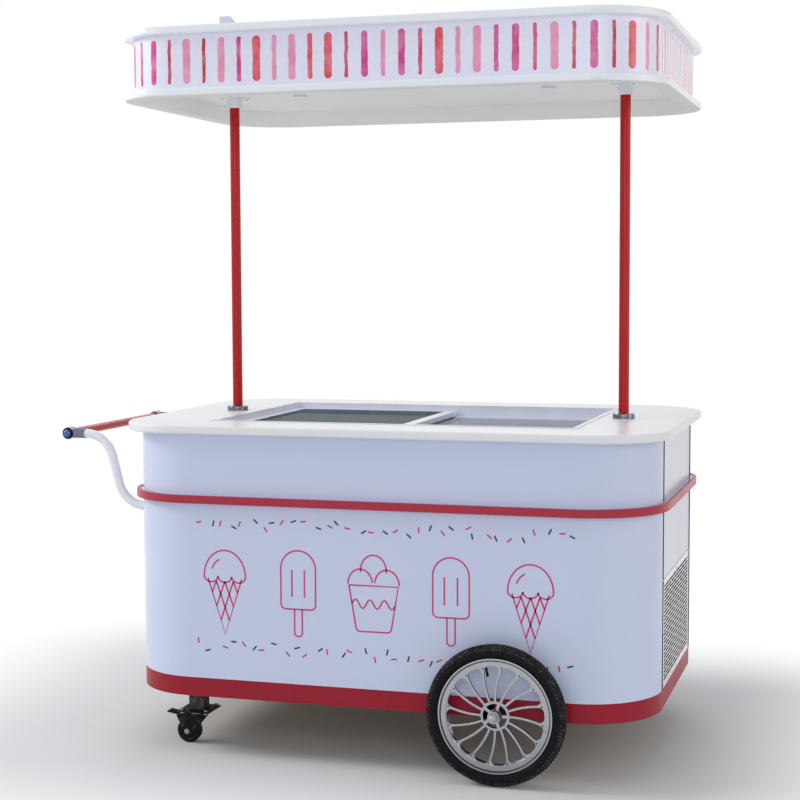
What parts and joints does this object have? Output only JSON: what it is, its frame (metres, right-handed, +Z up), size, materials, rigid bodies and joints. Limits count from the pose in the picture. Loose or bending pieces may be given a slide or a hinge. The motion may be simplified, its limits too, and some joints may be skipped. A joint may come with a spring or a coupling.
{
  "type": "ice cream push cart",
  "caption": "Gelato push cart: rounded white cabinet with sunk sliding-lid freezer, spoked road wheels, braked swivel casters, push handle and a canopy on red posts.",
  "frame": {"origin": "on the floor under the middle of the cart's bounding box", "axes": "+Z up, +X along the counter from the push handle towards the road wheels and the vent, -Y towards the customer's side that the picture shows"},
  "size_m": [1.922, 1.252, 2.186],
  "materials": {
    "white_panel": "gloss white laminate",
    "red_panel": "satin red laminate",
    "counter_white": "gloss white solid surface",
    "fascia_print": "printed pink stripes on white",
    "ceiling_white": "matt white",
    "white_paint": "gloss white powder coat",
    "red_paint": "gloss red powder coat",
    "black_paint": "satin black",
    "chassis_paint": "satin dark grey",
    "floor_grey": "sealed plywood",
    "white_pvc": "satin white moulding",
    "lid_glass": "tempered glass",
    "tub_steel": "brushed stainless",
    "foam": "insulating foam",
    "machine_black": "black enamel",
    "fin_aluminium": "plain fins",
    "black_plastic": "moulded black",
    "panel_grey": "satin grey",
    "switch_red": "gloss red",
    "cast_alloy": "polished cast alloy",
    "tyre_rubber": "black rubber",
    "zinc_steel": "zinc plated",
    "chrome": "polished",
    "cap_blue": "gloss blue dome in a dark ring",
    "light_lens": "frosted lens"
  },
  "bodies": {
    "cart": {"chassis_frame": "chassis_paint", "axle": "zinc_steel", "axle_nuts": "zinc_steel", "floor_board": "floor_grey", "skirt": "red_panel", "body_frame": "chassis_paint", "lower_front_shell": "white_panel", "lower_rear_shell": "white_panel", "lower_left_panel": "white_panel", "lower_right_panel": "white_panel", "vent_grille": "white_paint", "belt_ledge": "white_panel", "belt_trim": "red_panel", "upper_front_shell": "white_panel", "upper_rear_shell": "white_panel", "upper_left_panel": "white_panel", "upper_right_panel": "white_panel", "counter_top": "counter_white", "lid_tracks": "white_pvc", "freezer_tub": "tub_steel", "freezer_jacket": "foam", "compressor": "machine_black", "condenser": "fin_aluminium", "fan_motor": "machine_black", "control_panel": "panel_grey", "canopy_posts": "red_paint", "post_flanges": "chrome", "post_sockets": "white_paint", "canopy_lower_rim": "white_panel", "canopy_frame": "white_paint", "canopy_ceiling": "ceiling_white", "canopy_fascia": "fascia_print", "canopy_roof": "white_panel", "roof_cover": "white_pvc", "canopy_lights": "light_lens", "handle_tubes": "white_paint", "handle_sleeves": "chrome", "handle_crossbar": "red_paint", "handle_caps": "cap_blue", "caster_plates": "black_paint"},
    "left_lid": {"lid_left_frame": "white_pvc", "lid_left_glass": "lid_glass"},
    "right_lid": {"lid_right_frame": "white_pvc", "lid_right_glass": "lid_glass"},
    "fan": {"fan_blades": "black_plastic"},
    "knob": {"thermostat_knob": "black_plastic"},
    "switch": {"power_switch": "switch_red"},
    "front_wheel": {"wheel_front": "cast_alloy", "tyre_front": "tyre_rubber", "bearings_front": "zinc_steel"},
    "front_caster": {"caster_fork_front": "black_paint"},
    "front_roller": {"caster_wheel_front": "black_plastic"},
    "front_brake": {"caster_brake_front": "black_plastic"},
    "rear_wheel": {"wheel_rear": "cast_alloy", "tyre_rear": "tyre_rubber", "bearings_rear": "zinc_steel"},
    "rear_caster": {"caster_fork_rear": "black_paint"},
    "rear_roller": {"caster_wheel_rear": "black_plastic"},
    "rear_brake": {"caster_brake_rear": "black_plastic"}
  },
  "joints": [
    {"name": "front_wheel_spin", "type": "hinge", "parent": "cart", "child": "front_wheel", "pos_m": [0.505, -0.575, 0.203], "axis": [0, 1, 0], "continuous": true},
    {"name": "front_caster_swivel", "type": "hinge", "parent": "cart", "child": "front_caster", "pos_m": [-0.4805, -0.39, 0.096], "axis": [0, 0, 1], "continuous": true},
    {"name": "front_roller_spin", "type": "hinge", "parent": "front_caster", "child": "front_roller", "pos_m": [-0.5125, -0.39, 0.0375], "axis": [0, 1, 0], "continuous": true},
    {"name": "front_brake_press", "type": "hinge", "parent": "front_caster", "child": "front_brake", "pos_m": [-0.5405, -0.39, 0.084], "axis": [0, -1, 0], "range_deg": [0, 15]},
    {"name": "rear_wheel_spin", "type": "hinge", "parent": "cart", "child": "rear_wheel", "pos_m": [0.505, 0.575, 0.203], "axis": [0, 1, 0], "continuous": true},
    {"name": "rear_caster_swivel", "type": "hinge", "parent": "cart", "child": "rear_caster", "pos_m": [-0.4805, 0.39, 0.096], "axis": [0, 0, 1], "continuous": true},
    {"name": "rear_roller_spin", "type": "hinge", "parent": "rear_caster", "child": "rear_roller", "pos_m": [-0.5125, 0.39, 0.0375], "axis": [0, 1, 0], "continuous": true},
    {"name": "rear_brake_press", "type": "hinge", "parent": "rear_caster", "child": "rear_brake", "pos_m": [-0.5405, 0.39, 0.084], "axis": [0, -1, 0], "range_deg": [0, 15]},
    {"name": "left_lid_slide", "type": "slide", "parent": "cart", "child": "left_lid", "axis": [1, 0, 0], "range_m": [0, 0.53]},
    {"name": "right_lid_slide", "type": "slide", "parent": "cart", "child": "right_lid", "axis": [1, 0, 0], "range_m": [-0.53, 0]},
    {"name": "fan_spin", "type": "hinge", "parent": "cart", "child": "fan", "pos_m": [0.805, 0, 0.414], "axis": [1, 0, 0], "continuous": true},
    {"name": "knob_turn", "type": "hinge", "parent": "cart", "child": "knob", "pos_m": [0.567, 0.523, 0.8795], "axis": [0, -1, 0], "range_deg": [0, 270]},
    {"name": "switch_rock", "type": "hinge", "parent": "cart", "child": "switch", "pos_m": [0.634, 0.52075, 0.8795], "axis": [1, 0, 0], "range_deg": [-16, 0]}
  ]
}
